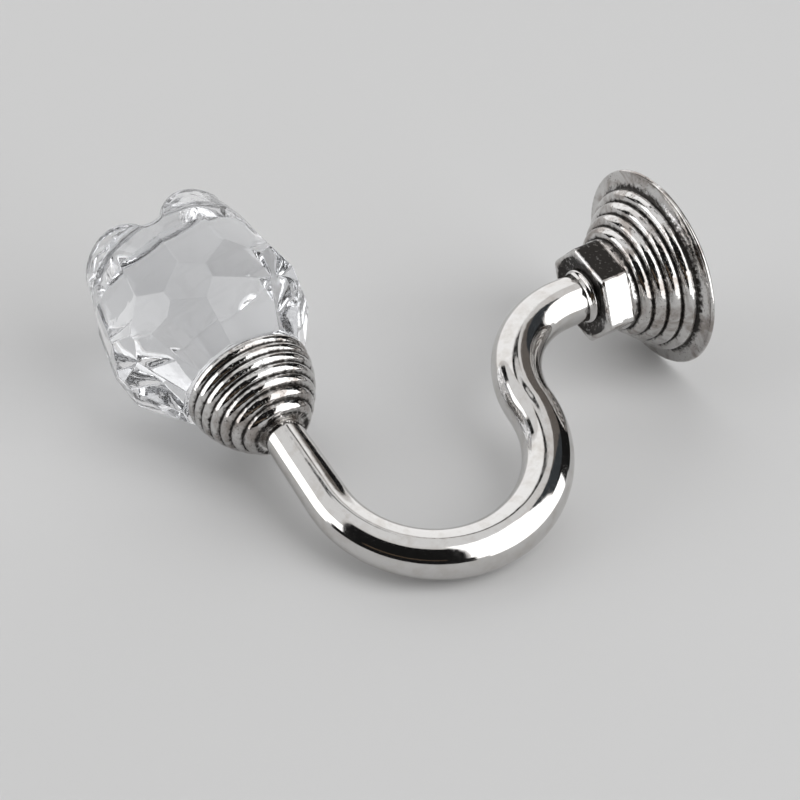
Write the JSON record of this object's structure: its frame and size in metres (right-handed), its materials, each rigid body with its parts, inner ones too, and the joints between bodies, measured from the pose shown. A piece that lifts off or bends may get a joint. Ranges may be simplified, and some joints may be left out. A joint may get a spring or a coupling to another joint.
{
  "type": "curtain holdback",
  "caption": "Chrome wall holdback with a ribbed conical base, an S-shaped hook arm and a cut glass bud; it holds a drawn curtain aside.",
  "frame": {"origin": "centre of the wall base's back face, at the mouth of its threaded hole", "axes": "+Y into the wall, so the holdback stands out along -Y; the arm lies in the plane Z = 0, its hook bellies to +X and the bud points to -X"},
  "size_m": [0.1024, 0.1092, 0.042],
  "materials": {
    "cast_chrome": "polished casting",
    "arm_chrome": "bright polished",
    "cup_chrome": "polished casting",
    "stud_steel": "threaded steel",
    "bud_glass": "clear fire-polished flats"
  },
  "bodies": {
    "root": {"wall_base": "cast_chrome", "arm": "arm_chrome", "bud_cup": "cup_chrome", "bud_stud": "stud_steel", "glass_bud": "bud_glass"}
  },
  "joints": []
}
